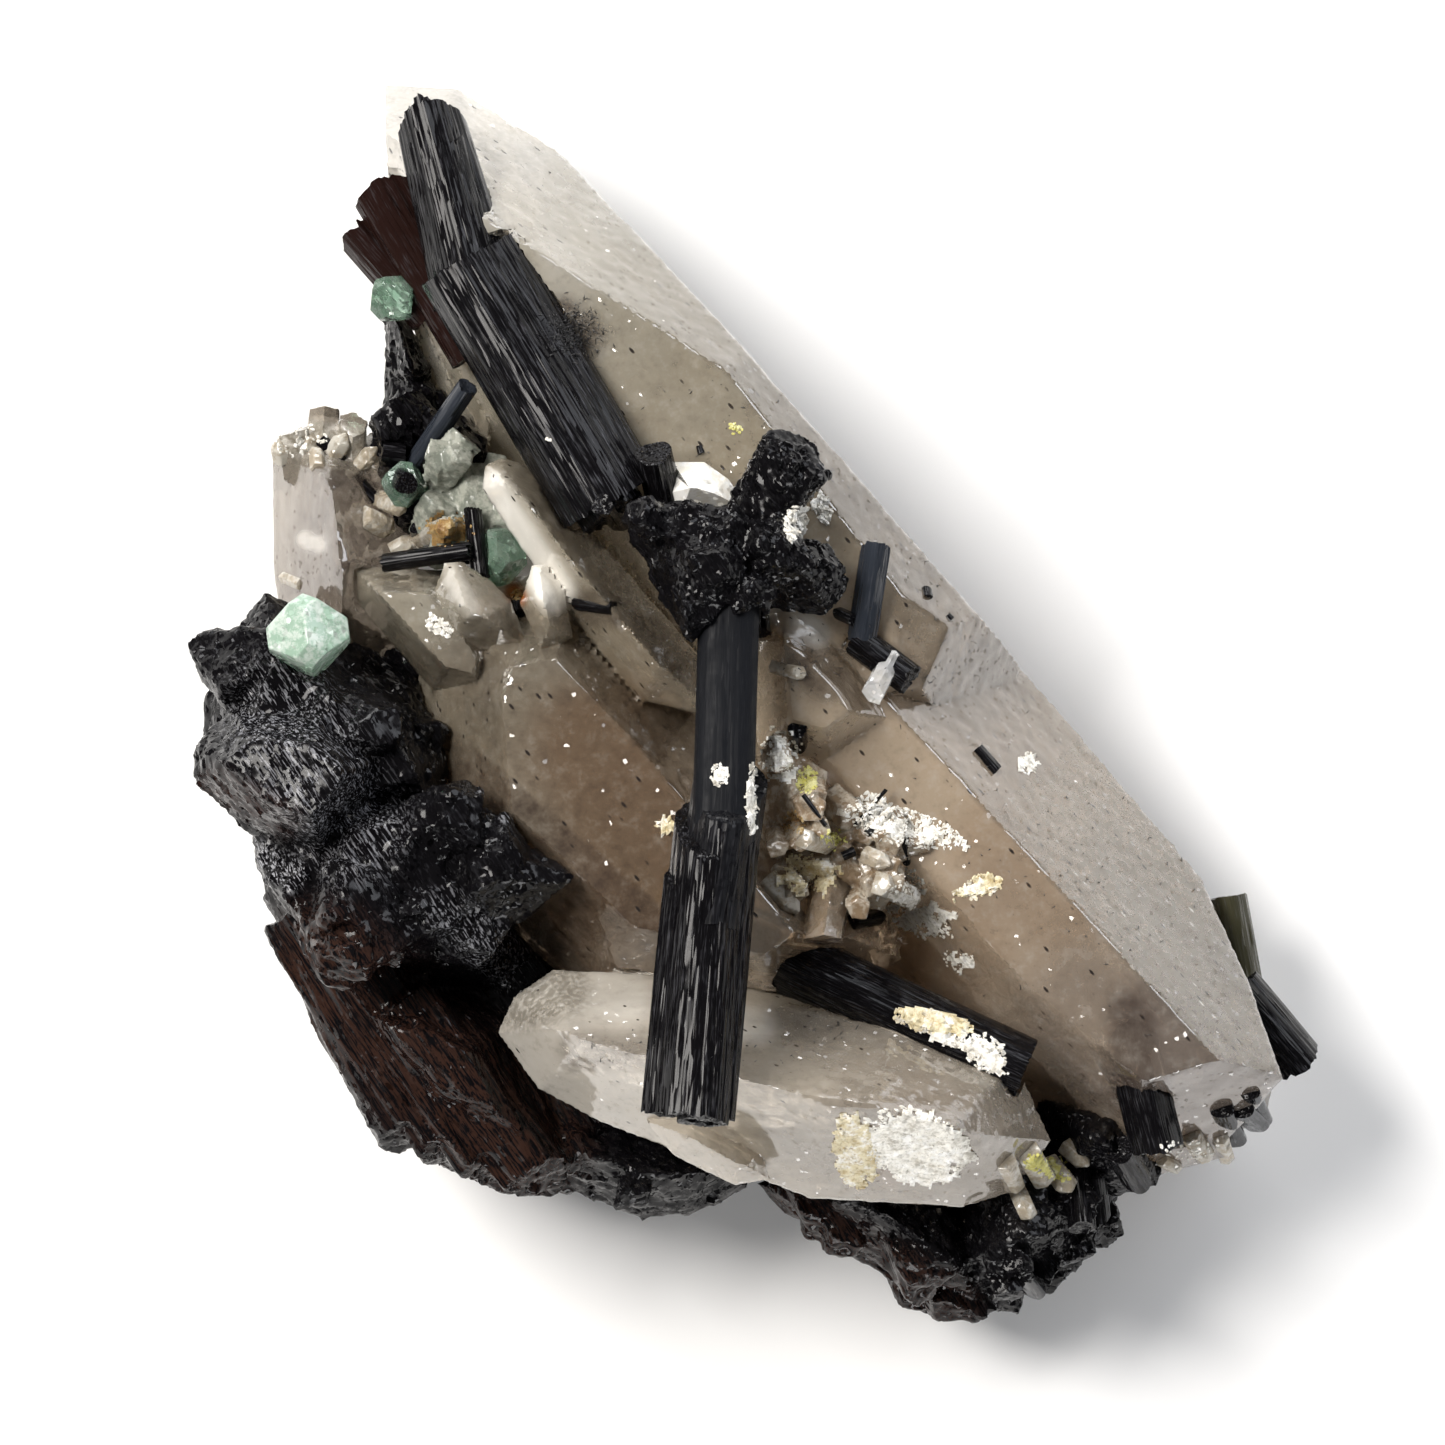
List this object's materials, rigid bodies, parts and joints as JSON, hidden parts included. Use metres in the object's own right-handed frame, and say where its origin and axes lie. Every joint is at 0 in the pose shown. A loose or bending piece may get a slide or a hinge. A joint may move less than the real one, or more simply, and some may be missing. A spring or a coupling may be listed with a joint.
{
  "type": "schorl on smoky quartz",
  "caption": "Cabinet specimen of striated black schorl prisms on smoky quartz crystals, with small green fluorites and pale crusts, lying on its back.",
  "frame": {"origin": "centre of the bounding box's underside, on the surface that the specimen lies on", "axes": "+Z out of the front of the specimen, +Y towards the tip of the largest quartz crystal's end of the piece, +X to the viewer's right when the front is seen from above"},
  "size_m": [0.0812, 0.0891, 0.0412],
  "materials": {
    "smoky_quartz": "natural crystal faces, partly etched",
    "pale_quartz": "natural crystal faces, partly etched",
    "clear_quartz": "natural crystal faces",
    "schorl": "striated prism faces and granular breaks, glassy",
    "reddish_schorl": "striated and splintered, glassy",
    "olive_schorl": "striated, weathered at the edges",
    "blue_schorl": "striated, bluish grey sheen",
    "green_fluorite": "frosted crystal faces",
    "pale_crust": "flaky and granular, with ochre and yellow-green grains",
    "grey_crust": "granular, with ochre stains"
  },
  "bodies": {
    "root": {"quartz_main": "smoky_quartz", "quartz_left": "pale_quartz", "quartz_lower": "pale_quartz", "white_crystal": "clear_quartz", "clear_chip": "clear_quartz", "schorl_front": "schorl", "schorl_upper": "schorl", "schorl_reddish": "reddish_schorl", "schorl_knot": "schorl", "schorl_left": "schorl", "schorl_lower_right": "schorl", "schorl_hollow": "schorl", "schorl_diagonal": "schorl", "schorl_stub": "schorl", "schorl_olive": "olive_schorl", "schorl_end": "schorl", "schorl_blue": "blue_schorl", "schorl_short": "schorl", "schorl_rod": "schorl", "schorl_slim": "blue_schorl", "schorl_needle": "schorl", "schorl_base": "schorl", "fluorite_large": "green_fluorite", "fluorite_top": "green_fluorite", "fluorite_middle": "green_fluorite", "fluorite_hollow": "green_fluorite", "crust_hollow": "grey_crust", "crust_front": "pale_crust"}
  },
  "joints": []
}
